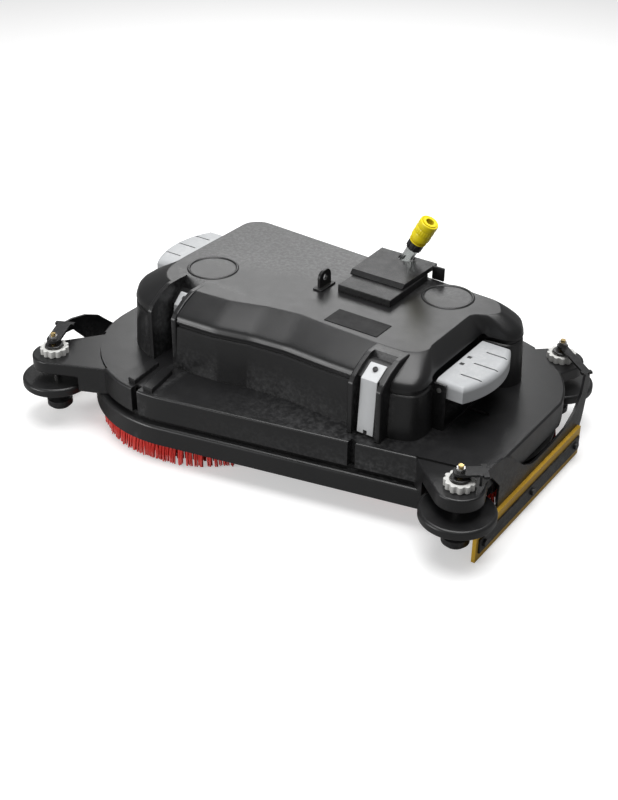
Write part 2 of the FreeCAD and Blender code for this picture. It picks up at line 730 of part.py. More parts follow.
def make_wiper(side, sign):
    """Carrier plate with hooks, lip, clamp strip, screws, rods and nuts of one side."""
    middle = size("deck_side") + size("wiper_gap") if sign > 0 else -size("wiper_left_x")
    thick = size("plate_thick")
    inner = middle - sign * thick / 2
    outer = middle + sign * thick / 2
    points = [Vector(min(inner, outer), wiper_y(sign, y), z) for y, z in PLATE_PROFILE]
    plate = Part.Face(Part.makePolygon(points + points[:1])).extrude(Vector(thick, 0, 0))
    hook_top = size("hook_height")
    rods = []
    nuts = []
    for corner, ((x, y), _) in CORNERS.items():
        if not corner.startswith(side):
            continue
        end = corner.split("_")[1]
        ends = [wiper_y(sign, value) for value in HOOK_REACH[end]]
        near = Vector(middle, sum(ends) / 2, 0)
        tip = Vector(x, y, 0)
        arm = hook_arm(near, tip, (ends[1] - ends[0]), hook_top)
        plate = plate.fuse(arm)
        plate = plate.cut(Part.makeCylinder(size("rod_rad"), 12, Vector(x, y, hook_top - 6)))
        floor = size("deck_top") - size("ear_drop") - size("ear_thick")
        rod = Part.makeCylinder(size("rod_rad"), hook_top + 10 - (floor + 12), Vector(x, y, floor + 12))
        rods.append(rod)
        nuts.append(hexagon(x, y, hook_top, 7, 6).cut(
            Part.makeCylinder(size("rod_rad"), 8, Vector(x, y, hook_top - 1))))
    solid_feature(plate.removeSplitter(), f"wiper_plate_{side}")
    solid_feature(Part.makeCompound(rods), f"adjuster_rods_{side}")
    solid_feature(Part.makeCompound(nuts), f"rod_nuts_{side}")
    make_lip(side, sign, outer)


def hook_arm(near, tip, wide, top):
    """A flat arm from the top of a post to the rod of its corner."""
    span = tip - near
    length = span.Length
    thick = size("plate_thick")
    arm = Part.makeBox(length, wide * 0.7, thick, Vector(0, -wide * 0.35, top - thick))
    end = Part.makeCylinder(max(wide * 0.35, 9), thick, Vector(length, 0, top - thick))
    root = Part.makeBox(8, wide, thick, Vector(-2, -wide / 2, top - thick))
    shape = arm.fuse([end, root])
    shape.rotate(Vector(0, 0, 0), Vector(0, 0, 1), math.degrees(math.atan2(span.y, span.x)))
    shape.translate(Vector(near.x, near.y, 0))
    return shape


def hexagon(x, y, z, radius, tall):
    """A hexagonal prism."""
    corners = [(x + radius * math.cos(k * math.pi / 3), y + radius * math.sin(k * math.pi / 3))
               for k in range(6)]
    return plan_prism(polygon_wire(corners, z), tall)


LIP_OVERHANG = 8
STRIP_ABOVE_LIP = 14
STRIP_SHORT = 14


def make_lip(side, sign, face):
    """Rubber lip against the plate's outer face, the strip that clamps it, and three screws."""
    thick = size("lip_thick")
    strip = size("strip_thick")
    bottom = size("lip_rest")
    ends = [wiper_y(sign, value) for value in (-size("wiper_front") - LIP_OVERHANG, size("wiper_rear"))]
    low = face if sign > 0 else face - thick
    lip = Part.makeBox(thick, ends[1] - ends[0], size("lip_tall"), Vector(low, ends[0], bottom))
    strip_low = face + thick if sign > 0 else face - thick - strip
    strip_z = bottom + STRIP_ABOVE_LIP
    bar = Part.makeBox(strip, ends[1] - ends[0] - STRIP_SHORT, size("strip_tall"),
                       Vector(strip_low, ends[0] + STRIP_SHORT / 2, strip_z))
    screws = []
    middle_z = strip_z + size("strip_tall") / 2
    for along in (0.06, 0.5, 0.94):
        y = ends[0] + along * (ends[1] - ends[0])
        start = Vector(face, y, middle_z)
        way = Vector(sign, 0, 0)
        shank = Part.makeCylinder(3, thick + strip, start, way)
        head = Part.makeCylinder(6, 3.5, start + way * (thick + strip), way)
        screws.append(shank.fuse(head).removeSplitter())
        lip = lip.cut(shank)
        bar = bar.cut(shank)
    solid_feature(lip, f"wiper_lip_{side}")
    solid_feature(bar, f"clamp_strip_{side}")
    solid_feature(Part.makeCompound(screws), f"clamp_screws_{side}")


# ---------------------------------------------------------------- pedals
PEDAL_BACK = 9
PEDAL_BOW = 20
PEDAL_ROUND = 9
GROOVE_PITCH = 40
BRACKET_DEEP = 20
BRACKET_THICK = 4
BRACKET_GAP = 0.5


def make_pedals():
    """Foot pedals on hinge pins in the hood's niches, with grooves across the tread."""
    pins = []
    brackets = []
    for side, sign in SIDES:
        hinge = sign * (size("pedal_right_x") if sign > 0 else size("pedal_left_x"))
        middle = pedal_middle(sign)
        half = size("pedal_long") / 2
        reach = size("pedal_wide")
        low = -size("pedal_thick") / 2
        inner = -PEDAL_BACK
        shoulder = reach - PEDAL_BOW
        corners = [Vector(inner, -half, low), Vector(shoulder, -half, low)]
        bow = Vector(reach, 0, low)
        last = [Vector(shoulder, half, low), Vector(inner, half, low)]
        edges = [
            Part.makeLine(corners[0], corners[1]),
            Part.Arc(corners[1], bow, last[0]).toShape(),
            Part.makeLine(last[0], last[1]),
            Part.makeLine(last[1], corners[0]),
        ]
        tread = Part.Face(Part.Wire(edges)).extrude(Vector(0, 0, size("pedal_thick")))
        tread = tread.makeFillet(PEDAL_ROUND, [edge for edge in tread.Edges
                                               if edge.BoundBox.ZMin > -low - 0.1
                                               and edge.BoundBox.XMax > inner + 1])
        for groove in (-GROOVE_PITCH, 0, GROOVE_PITCH):
            tread = tread.cut(Part.makeBox(reach, 3, 2.5, Vector(inner + 22, groove - 1.5, -low - 2.5)))
        for hollow in (-12, 12):
            tread = tread.cut(Part.makeBox(7, 7, 6, Vector(inner + 5, hollow - 3.5, -low - 6)))
        pedal = tread.cut(Part.makeCylinder(size("pedal_pin_rad") + size("running_gap"), 2 * half + 2,
                                            Vector(0, -half - 1, 0), Vector(0, 1, 0)))
        pedal = pedal.removeSplitter()
        turned = Rotation(Vector(0, 0, 1), 0 if sign > 0 else 180)
        seat = Placement(Vector(hinge, middle, size("pedal_hinge_z")), turned)
        solid_feature(pedal, f"pedal_{side}", seat)
        reach_out = half + BRACKET_GAP + BRACKET_THICK
        start = Vector(hinge, middle - reach_out - 1, size("pedal_hinge_z"))
        pin = Part.makeCylinder(size("pedal_pin_rad"), 2 * (reach_out + 1), start, Vector(0, 1, 0))
        pins.append(pin)
        corner = Vector(hinge - BRACKET_DEEP / 2, middle - reach_out, size("deck_top"))
        base = Part.makeBox(BRACKET_DEEP, 2 * reach_out, 3, corner)
        tall = size("pedal_hinge_z") + BRACKET_DEEP / 2 - size("deck_top")
        ears = [Part.makeBox(BRACKET_DEEP, BRACKET_THICK, tall, corner + Vector(0, along, 0))
                for along in (0, 2 * reach_out - BRACKET_THICK)]
        brackets.append(base.fuse(ears).removeSplitter().cut(pin))
    solid_feature(Part.makeCompound(pins), "pedal_pins")
    solid_feature(Part.makeCompound(brackets), "pedal_brackets")


# ---------------------------------------------------------------- brushes and drives
def make_brushes():
    """Brush discs, bristle rings and drive hubs below the deck; bearings, gearboxes and motors above."""
    bearings = []
    for side, sign in SIDES:
        place = brush_place(sign)
        bristle_top = "Sizes.bristle_len"
        bristles = lathe([
            ("Sizes.bristle_bore", "0"),
            ("Sizes.brush_rad", "0"),
            ("Sizes.bristle_top_rad", bristle_top),
            ("Sizes.bristle_bore", bristle_top),
        ], *place)
        node(bristles, f"bristles_{side}")
        disc = lathe([
            ("Sizes.shaft_rad", "0"),
            ("Sizes.bristle_top_rad - 2", "0"),
            ("Sizes.bristle_top_rad - 2", "Sizes.disc_thick - 3"),
            ("Sizes.bristle_top_rad - 8", "Sizes.disc_thick"),
            ("Sizes.shaft_rad", "Sizes.disc_thick"),
        ], *place, "Sizes.bristle_len")
        node(disc, f"brush_disc_{side}")
        hub = ring("Sizes.hub_rad", "Sizes.shaft_rad", "Sizes.hub_deep", *place,
                   "Sizes.bristle_len + Sizes.disc_thick")
        node(hub, f"drive_hub_{side}")
        shaft = cylinder("Sizes.shaft_rad", "Sizes.deck_top + 10 - Sizes.bristle_len", *place,
                         "Sizes.bristle_len")
        node(shaft, f"drive_shaft_{side}")
        bearings.append(ring("Sizes.bearing_rad", "Sizes.shaft_rad + Sizes.running_gap",
                             "Sizes.bearing_deep", *place, "Sizes.deck_top - Sizes.bearing_deep"))
        motor_place = (f"{sign} * (Sizes.brush_x - Sizes.motor_in)", place[1])
        case = fused([
            cylinder("Sizes.gearbox_rad", "Sizes.gearbox_tall", *place, "Sizes.deck_top"),
            cylinder("Sizes.motor_rad", "Sizes.gearbox_tall", *motor_place, "Sizes.deck_top"),
        ])
        pit = cylinder("Sizes.shaft_rad + 4", "14", *place, "Sizes.deck_top")
        node(cut(case, pit), f"gearbox_{side}")
        motor = cylinder("Sizes.motor_rad - 4", "Sizes.motor_tall", *motor_place,
                         "Sizes.deck_top + Sizes.gearbox_tall")
        node(motor, f"motor_{side}")
    node(grouped(bearings), "shaft_bearings")


# ---------------------------------------------------------------- water inlet
NUT_PAST_HOSE = 8
COLLAR_THICK = 2
SLEEVE_REST_GAP = 0.3
NUT_FLUTES = 10
PIPE_RAD = 9
PIPE_HALF = 100
PIPE_Y = 118
PIPE_Z = 168


def inlet_axis():
    """Direction of the leaning inlet."""
    lean = math.radians(size("inlet_lean"))
    return Vector(math.sin(lean), 0, math.cos(lean))


def inlet_point(along):
    """A point on the inlet's axis."""
    foot = Vector(size("inlet_x"), size("inlet_y"), size("hood_top") - size("inlet_sink"))
    return foot + inlet_axis() * along


def inlet_ring(outer, inner, start, long):
    """A ring on the inlet's axis."""
    tube = Part.makeCylinder(outer, long, inlet_point(start), inlet_axis())
    return tube.cut(Part.makeCylinder(inner, long, inlet_point(start), inlet_axis()))


def make_inlet():
    """Inlet hose, union nut, coupling body and sliding sleeve, on one leaning axis."""
    bore = size("hose_bore")
    hose = size("hose_long")
    nut_start = hose + NUT_PAST_HOSE - size("nut_long")
    collar_start = hose + NUT_PAST_HOSE
    sleeve_start = collar_start + COLLAR_THICK + size("sleeve_play") + SLEEVE_REST_GAP
    barrel_long = sleeve_start + size("sleeve_long") + 1 - collar_start
    solid_feature(inlet_ring(size("hose_rad"), bore, 0, hose), "inlet_hose")
    nut = inlet_ring(size("nut_rad"), size("hose_rad"), nut_start, size("nut_long"))
    for flute in range(NUT_FLUTES):
        nut = nut.cut(nut_flute(flute * 360 / NUT_FLUTES, nut_start, size("nut_long")))
    solid_feature(nut, "union_nut")
    tail = inlet_ring(size("hose_rad"), bore, hose, NUT_PAST_HOSE)
    barrel = inlet_ring(size("barrel_rad"), bore, collar_start, barrel_long)
    collar = inlet_ring(size("nut_rad") + 1, bore, collar_start, COLLAR_THICK)
    solid_feature(tail.fuse([barrel, collar]).removeSplitter(), "coupling_body")
    sleeve = inlet_ring(size("sleeve_rad"), size("barrel_rad") + size("running_gap"), sleeve_start,
                        size("sleeve_long"))
    solid_feature(sleeve, "coupling_sleeve")
    pipe = PIPE_RAD
    left = Vector(-PIPE_HALF, PIPE_Y, PIPE_Z)
    manifold = Part.makeCylinder(pipe, 2 * PIPE_HALF, left, Vector(1, 0, 0))
    for end in (-PIPE_HALF, PIPE_HALF):
        drop = Part.makeCylinder(pipe, PIPE_Z - size("deck_top"), Vector(end, PIPE_Y, size("deck_top")))
        manifold = manifold.fuse([drop, Part.makeSphere(pipe, Vector(end, PIPE_Y, PIPE_Z))])
    solid_feature(manifold.removeSplitter(), "water_manifold")


def nut_flute(turn, start, long):
    """A grip flute on the union nut."""
    flute = Part.makeCylinder(1.8, long, Vector(size("nut_rad") + 0.6, 0, start))
    flute.rotate(Vector(0, 0, 0), Vector(0, 0, 1), turn)
    flute.rotate(Vector(0, 0, 0), Vector(0, 1, 0), size("inlet_lean"))
    flute.translate(inlet_point(0))
    return flute


make_deck()
make_skirt()
make_ears()
make_hood()
make_straps()
make_top_fittings()
make_corners()
for side, sign in SIDES:
    make_wiper(side, sign)
make_pedals()
make_brushes()
make_inlet()

doc.recompute()
for obj in doc.Objects:
    if {"Invalid", "Error"} & set(obj.State):
        raise RuntimeError(f"{obj.Name} ({obj.Label}) did not build: {obj.State}")
os.makedirs("parts", exist_ok=True)
for obj in nodes:
    if obj.Shape.isNull() or not obj.Shape.isValid() or not obj.Shape.Solids:
        raise RuntimeError(f"{obj.Label} has no valid solid")
# The files' origin is the middle of the head's outer box, on the floor.
whole = FreeCAD.BoundBox()
for obj in nodes:
    whole.add(obj.Shape.BoundBox)
to_middle = Vector(-whole.Center.x, -whole.Center.y, 0)
for obj in nodes:
    obj.Shape.translated(to_middle).exportStep(f"parts/{obj.Label}.step")
    print(f"{obj.Label}: {len(obj.Shape.Solids)} solids, {obj.Shape.Volume / 1000:.1f} cm3")
print(f"{len(nodes)} nodes, plan moved by {to_middle.x:.2f}, {to_middle.y:.2f}")
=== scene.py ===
import math
import random

import bmesh
import bpy
from mathutils import Matrix, Vector


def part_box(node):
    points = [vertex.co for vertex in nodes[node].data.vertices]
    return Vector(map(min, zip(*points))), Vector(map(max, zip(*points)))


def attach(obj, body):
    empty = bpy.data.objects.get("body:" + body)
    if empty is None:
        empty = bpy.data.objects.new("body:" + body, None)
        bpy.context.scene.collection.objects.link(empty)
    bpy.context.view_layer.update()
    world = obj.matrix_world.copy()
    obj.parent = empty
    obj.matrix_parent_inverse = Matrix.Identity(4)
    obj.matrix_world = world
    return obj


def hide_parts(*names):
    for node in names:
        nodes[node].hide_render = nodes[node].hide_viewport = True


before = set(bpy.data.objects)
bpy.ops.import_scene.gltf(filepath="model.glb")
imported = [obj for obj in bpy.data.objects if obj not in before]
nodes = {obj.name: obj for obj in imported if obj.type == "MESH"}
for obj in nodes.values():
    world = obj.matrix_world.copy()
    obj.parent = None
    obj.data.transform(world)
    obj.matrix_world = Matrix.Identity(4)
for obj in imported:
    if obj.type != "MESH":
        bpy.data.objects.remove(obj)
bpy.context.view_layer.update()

# ---------------------------------------------------------------- studio
# A white paper floor, a large softbox overhead, one low behind the left end that lays a sheen on the level
# faces, and a weak one in front. The paper bounces little light, as a wide floor in a dark room does.
FLOOR_HALF = 6
FLOOR_DROP = 0.0005
floor_mesh = bpy.data.meshes.new("studio_floor")
floor_mesh.from_pydata([(-FLOOR_HALF, -FLOOR_HALF, 0), (FLOOR_HALF, -FLOOR_HALF, 0),
                        (FLOOR_HALF, FLOOR_HALF, 0), (-FLOOR_HALF, FLOOR_HALF, 0)], [], [(0, 1, 2, 3)])
floor = bpy.data.objects.new("studio_floor", floor_mesh)
floor.location.z = -FLOOR_DROP
bpy.context.scene.collection.objects.link(floor)


def split_by_camera_ray(tree, unseen, seen, surface):
    """Show one shader to the camera and the other to all light that bounces."""
    rays = tree.nodes.new("ShaderNodeLightPath")
    chooser = tree.nodes.new("ShaderNodeMixShader")
    tree.links.new(rays.outputs["Is Camera Ray"], chooser.inputs["Fac"])
    tree.links.new(unseen, chooser.inputs[1])
    tree.links.new(seen, chooser.inputs[2])
    tree.links.new(chooser.outputs["Shader"], surface)


paper = bpy.data.materials.new("white_paper")
paper.use_nodes = True
seen_paper = paper.node_tree.nodes["Principled BSDF"]
seen_paper.inputs["Base Color"].default_value = (0.7, 0.7, 0.7, 1)
seen_paper.inputs["Roughness"].default_value = 0.9
seen_paper.inputs["Specular IOR Level"].default_value = 0.0
seen_paper.inputs["Emission Color"].default_value = (1, 1, 1, 1)
seen_paper.inputs["Emission Strength"].default_value = 0.42
bounce = paper.node_tree.nodes.new("ShaderNodeBsdfDiffuse")
bounce.inputs["Color"].default_value = (0.3, 0.3, 0.3, 1)
split_by_camera_ray(paper.node_tree, bounce.outputs["BSDF"], seen_paper.outputs["BSDF"],
                    paper.node_tree.nodes["Material Output"].inputs["Surface"])
floor_mesh.materials.append(paper)

world = bpy.data.worlds.new("studio_air")
world.use_nodes = True
air = world.node_tree.nodes["Background"]
air.inputs["Color"].default_value = (1, 1, 1, 1)
air.inputs["Strength"].default_value = 0.24
backdrop = world.node_tree.nodes.new("ShaderNodeBackground")
backdrop.inputs["Color"].default_value = (1, 1, 1, 1)
split_by_camera_ray(world.node_tree, air.outputs["Background"], backdrop.outputs["Background"],
                    world.node_tree.nodes["World Output"].inputs["Surface"])
bpy.context.scene.world = world


def softbox(name, place, aim, wide, deep, power):
    """A rectangular area lamp that looks at a point."""
    lamp = bpy.data.lights.new(name, "AREA")
    lamp.shape = "RECTANGLE"
    lamp.size = wide
    lamp.size_y = deep
    lamp.energy = power
    stand = bpy.data.objects.new(name, lamp)
    stand.location = place
    way = Vector(aim) - Vector(place)
    stand.rotation_euler = way.to_track_quat("-Z", "Y").to_euler()
    bpy.context.scene.collection.objects.link(stand)


softbox("softbox_top", (0.1, 0.0, 2.5), (0.05, 0, 0), 2.2, 2.0, 78)
softbox("softbox_back", (-1.25, 1.8, 1.5), (0, 0, 0.15), 1.5, 0.8, 15)
softbox("softbox_front", (-1.5, -2.5, 0.8), (-0.1, 0, 0.1), 1.4, 0.9, 40)

CAMERA_AZIMUTH = math.radians(34.64)
CAMERA_ELEVATION = math.radians(31.71)
CAMERA_ROLL = math.radians(0.47)
CAMERA_PLACE = (1.0192, -1.499, 1.1593)
CAMERA_LENS = 57.5
camera = bpy.data.objects.new("camera", bpy.data.cameras.new("camera"))
camera.data.lens = CAMERA_LENS
camera.data.clip_end = 20
camera.location = CAMERA_PLACE
turn = Matrix.Rotation(CAMERA_AZIMUTH, 3, "Z") @ Matrix.Rotation(math.pi / 2 - CAMERA_ELEVATION, 3, "X")
camera.rotation_euler = (turn @ Matrix.Rotation(CAMERA_ROLL, 3, "Z")).to_euler()
bpy.context.scene.collection.objects.link(camera)
bpy.context.scene.camera = camera
bpy.context.scene.view_settings.view_transform = "Standard"


# ---------------------------------------------------------------- deck, skirt and corner ears
# The deck housing, the bumper skirt round it and four ears for the corner rollers: thick charcoal plastic,
# moulded with a fine grain and bolted together from below. Rolled edges are scuffed pale by skirting boards,
# and the pale rub on them is also a painted highlight.
def new_group(name, inputs, outputs):
    """An empty shader group with named sockets: (name, type, default) for inputs."""
    group = bpy.data.node_groups.new(name, "ShaderNodeTree")
    for label, kind, default in inputs:
        socket = group.interface.new_socket(label, in_out="INPUT", socket_type=kind)
        socket.default_value = default
    for label, kind in outputs:
        group.interface.new_socket(label, in_out="OUTPUT", socket_type=kind)
    entry = group.nodes.new("NodeGroupInput")
    leave = group.nodes.new("NodeGroupOutput")
    return group, entry, leave


def noise(tree, vector, scale, detail=3.0, rough=0.55):
    """A noise texture whose scale may be a socket or a number."""
    cloud = tree.nodes.new("ShaderNodeTexNoise")
    cloud.inputs["Detail"].default_value = detail
    cloud.inputs["Roughness"].default_value = rough
    tree.links.new(vector, cloud.inputs["Vector"])
    if isinstance(scale, (int, float)):
        cloud.inputs["Scale"].default_value = scale
    else:
        tree.links.new(scale, cloud.inputs["Scale"])
    return cloud.outputs["Fac"]


def spread(tree, value, low, high, to_low, to_high):
    """A value mapped from one range to another; any limit may be a socket."""
    mapper = tree.nodes.new("ShaderNodeMapRange")
    tree.links.new(value, mapper.inputs["Value"])
    for label, limit in (("From Min", low), ("From Max", high), ("To Min", to_low), ("To Max", to_high)):
        if isinstance(limit, (int, float)):
            mapper.inputs[label].default_value = limit
        else:
            tree.links.new(limit, mapper.inputs[label])
    return mapper.outputs["Result"]


def arithmetic(tree, operation, first, second):
    """A Math node on sockets or numbers."""
    math_node = tree.nodes.new("ShaderNodeMath")
    math_node.operation = operation
    for slot_number, value in enumerate((first, second)):
        if isinstance(value, (int, float)):
            math_node.inputs[slot_number].default_value = value
        else:
            tree.links.new(value, math_node.inputs[slot_number])
    return math_node.outputs[0]


SMEAR_SCALE = 55.0
SMEAR_SHARE = 0.6
BUMP_HEIGHT = 0.0004
CREVICE_REACH = 0.02


def build_grain_group():
    """Moulded grain: fine pebble bump, broad colour mottling and patchy sheen."""
    group, entry, leave = new_group(
        "moulded_grain",
        [("Grain Scale", "NodeSocketFloat", 900.0), ("Mottle Scale", "NodeSocketFloat", 14.0),
         ("Depth", "NodeSocketFloat", 0.2), ("Rough Low", "NodeSocketFloat", 0.4),
         ("Rough High", "NodeSocketFloat", 0.55)],
        [("Mottle", "NodeSocketFloat"), ("Roughness", "NodeSocketFloat"), ("Normal", "NodeSocketVector")])
    place = group.nodes.new("ShaderNodeTexCoord").outputs["Object"]
    pebble = noise(group, place, entry.outputs["Grain Scale"], 2.0, 0.5)
    broad = noise(group, place, entry.outputs["Mottle Scale"], 4.0, 0.6)
    smear = noise(group, place, SMEAR_SCALE, 4.0, 0.62)
    group.links.new(spread(group, broad, 0.3, 0.7, 0.0, 1.0), leave.inputs["Mottle"])
    fine_part = arithmetic(group, "MULTIPLY", smear, SMEAR_SHARE)
    broad_part = arithmetic(group, "MULTIPLY", broad, 1.0 - SMEAR_SHARE)
    mixed = arithmetic(group, "ADD", fine_part, broad_part)
    sheen = spread(group, mixed, 0.36, 0.64, entry.outputs["Rough Low"], entry.outputs["Rough High"])
    group.links.new(sheen, leave.inputs["Roughness"])
    bump = group.nodes.new("ShaderNodeBump")
    bump.inputs["Distance"].default_value = BUMP_HEIGHT
    group.links.new(entry.outputs["Depth"], bump.inputs["Strength"])
    group.links.new(pebble, bump.inputs["Height"])
    group.links.new(bump.outputs["Normal"], leave.inputs["Normal"])
    return group


def build_wear_and_painted_light_group():
    """Rubbed edges and painted light: a broken mask along convex edges for scuffs and a painted highlight,
    and a corner mask for dust and painted shade in hollows.
    """
    group, entry, leave = new_group(
        "rubbed_and_highlit_edges",
        [("Reach", "NodeSocketFloat", 0.5), ("Break Scale", "NodeSocketFloat", 160.0)],
        [("Worn And Highlit Edge", "NodeSocketFloat"), ("Corner", "NodeSocketFloat")])
    place = group.nodes.new("ShaderNodeTexCoord").outputs["Object"]
    point = group.nodes.new("ShaderNodeNewGeometry").outputs["Pointiness"]
    broken = noise(group, place, entry.outputs["Break Scale"], 4.0, 0.65)
    # Convex edges get the pale rub colour: partly wear, partly a painted highlight.
    sharp = spread(group, point, 0.53, 0.62, 0.0, 1.0)
    patchy = spread(group, broken, 0.42, 0.66, 0.0, 1.0)
    rubbed_and_highlit = arithmetic(group, "MULTIPLY", sharp, patchy)
    group.links.new(arithmetic(group, "MULTIPLY", rubbed_and_highlit, entry.outputs["Reach"]), leave.inputs["Worn And Highlit Edge"])
    # Ambient occlusion marks hollows for the dust colour: partly dust, and partly painted shade where the
    # hollows fall dark.
    hollow = group.nodes.new("ShaderNodeAmbientOcclusion")
    hollow.samples = 4
    hollow.inputs["Distance"].default_value = CREVICE_REACH
    group.links.new(spread(group, hollow.outputs["AO"], 0.35, 0.95, 1.0, 0.0), leave.inputs["Corner"])
    return group


GRAIN = build_grain_group()
WEAR_AND_PAINTED_LIGHT = build_wear_and_painted_light_group()


def use_group(tree, group, **settings):
    """A group node with its own settings; double underscores in a name stand for spaces."""
    placed_group = tree.nodes.new("ShaderNodeGroup")
    placed_group.node_tree = group
    for label, value in settings.items():
        placed_group.inputs[label.replace("__", " ")].default_value = value
    return placed_group


def blend_colours(tree, mask, first, second):
    """Mix two colours, given as sockets or tuples, by a mask socket."""
    mix = tree.nodes.new("ShaderNodeMix")
    mix.data_type = "RGBA"
    tree.links.new(mask, mix.inputs[0])
    for slot_number, value in ((6, first), (7, second)):
        if isinstance(value, tuple):
            mix.inputs[slot_number].default_value = (*value, 1.0)
        else:
            tree.links.new(value, mix.inputs[slot_number])
    return mix.outputs[2]


def finish(name, dark, light, rub_and_highlight, dust_and_shade, roughness, depth=0.2, metallic=0.0, grain=900.0, specular=0.5,
           reach=0.5, dust_and_shade_amount=0.5):
    """A finish with mottled colour, rubbed edges that also carry a painted highlight, dusty corners with
    painted shade, patchy sheen and fine grain.
    """
    material = bpy.data.materials.new(name)
    material.use_nodes = True
    tree = material.node_tree
    shader = tree.nodes["Principled BSDF"]
    shader.inputs["Metallic"].default_value = metallic
    shader.inputs["Specular IOR Level"].default_value = specular
    body = use_group(tree, GRAIN, Grain__Scale=grain, Depth=depth, Rough__Low=roughness[0],
                     Rough__High=roughness[1])
    wear_and_painted_light = use_group(tree, WEAR_AND_PAINTED_LIGHT, Reach=reach)
    base = blend_colours(tree, body.outputs["Mottle"], dark, light)
    # The rub colour on edges is partly wear and partly a painted highlight; the dust colour in hollows is
    # partly dust and partly painted shade.
    rubbed_and_highlit = blend_colours(tree, wear_and_painted_light.outputs["Worn And Highlit Edge"], base, rub_and_highlight)
    dusty_and_shaded = arithmetic(tree, "MULTIPLY", wear_and_painted_light.outputs["Corner"], dust_and_shade_amount)
    tree.links.new(blend_colours(tree, dusty_and_shaded, rubbed_and_highlit, dust_and_shade), shader.inputs["Base Color"])
    tree.links.new(body.outputs["Roughness"], shader.inputs["Roughness"])
    tree.links.new(body.outputs["Normal"], shader.inputs["Normal"])
    return material


def paint(material, *names):
    """Give CAD nodes a finish in every material slot."""
    for name in names:
        mesh = nodes[name].data
        if not mesh.materials:
            mesh.materials.append(material)
        for index in range(len(mesh.materials)):
            mesh.materials[index] = material


def smooth_faces(mesh):
    """Even shading across all faces of a mesh."""
    for face in mesh.polygons:
        face.use_smooth = True


def roll_edges(obj, width, angle):
    """Rolled edges of this width wherever faces meet at more than an angle, with even shading."""
    roll = obj.modifiers.new("rolled_edges", "BEVEL")
    roll.width = width
    roll.segments = 3
    roll.limit_method = "ANGLE"
    roll.angle_limit = math.radians(angle)
    shade = obj.modifiers.new("even_shading", "WEIGHTED_NORMAL")
    shade.keep_sharp = False
    smooth_faces(obj.data)


WELD_REACH = 0.00002
FLAT_ANGLE = 1.5
EDGE_ANGLE = 30.0


def soften(name, width):
    """Rolled edges on a CAD node, after its flats are merged into single faces."""
    obj = nodes[name]
    weld = obj.modifiers.new("weld", "WELD")
    weld.merge_threshold = WELD_REACH
    flats = obj.modifiers.new("flats", "DECIMATE")
    flats.decimate_type = "DISSOLVE"
    flats.angle_limit = math.radians(FLAT_ANGLE)
    roll_edges(obj, width, EDGE_ANGLE)


# Its pale rub colour on edges is partly scuffing and partly a painted highlight.
charcoal = finish("charcoal_moulding", (0.0065, 0.0065, 0.007), (0.0085, 0.0085, 0.009), (0.10, 0.10, 0.102),
                  (0.010, 0.010, 0.0095), (0.32, 0.37), depth=0.12, dust_and_shade_amount=0.3, reach=0.4)
DECK_PIECES = ("deck_housing", "bumper_skirt", "ear_left_front", "ear_left_rear", "ear_right_front",
               "ear_right_rear")
paint(charcoal, *DECK_PIECES)
for name in DECK_PIECES:
    soften(name, 0.0045 if name == "bumper_skirt" else 0.0025)

# ---------------------------------------------------------------- disc brushes
# Two pad drivers with a stiff disc, a drive hub and rows of red nylon tufts. Each tuft is a bundle of
# crimped filaments stapled into the disc; the outer rows splay and their tips are worn uneven.
roller_black = finish("satin_black_plastic", (0.007, 0.007, 0.0075), (0.011, 0.011, 0.0115),
                      (0.08, 0.08, 0.08), (0.018, 0.017, 0.016), (0.30, 0.44), depth=0.25)
red_nylon = finish("red_nylon", (0.78, 0.040, 0.030), (0.90, 0.09, 0.07), (0.9, 0.2, 0.16),
                   (0.55, 0.022, 0.018), (0.32, 0.5), depth=0.1, dust_and_shade_amount=0.35)
paint(roller_black, "brush_disc_left", "brush_disc_right", "drive_hub_left", "drive_hub_right")
ROWS = 9
ROW_PITCH = 0.0125
RIM_MARGIN = 0.0015
FIRST_ROW_IN = 0.006
TUFT_PITCH = 0.0064
TUFT_RAD = 0.0019
FILAMENTS = 6
FILAMENT_RAD = 0.0015
# The splayed outer rows are made of filaments; the inner rows are single coarse strands, set further apart.
SPLAY_ROWS = 2
INNER_PITCH = TUFT_PITCH * 1.7
RIM_SPLAY = 0.006
INNER_SPLAY = 0.002
ROOT_SINK = 0.001
STRAND_TAPER = 0.25


def add_strand(points, faces, line, radius, sides):
    """A closed thin prism along a line of points, tapering a little to its last point."""
    first = len(points)
    for step, point in enumerate(line):
        reach = radius * (1.0 - STRAND_TAPER * step / (len(line) - 1))
        for side in range(sides):
            turn_by = 2 * math.pi * side / sides
            points.append(point + Vector((math.cos(turn_by), math.sin(turn_by), 0)) * reach)
    for step in range(len(line) - 1):
        low_ring = first + step * sides
        for side in range(sides):
            after = (side + 1) % sides
            faces.append((low_ring + side, low_ring + after,
                          low_ring + sides + after, low_ring + sides + side))
    faces.append(tuple(range(first, first + sides)))
    faces.append(tuple(reversed(range(len(points) - sides, len(points)))))


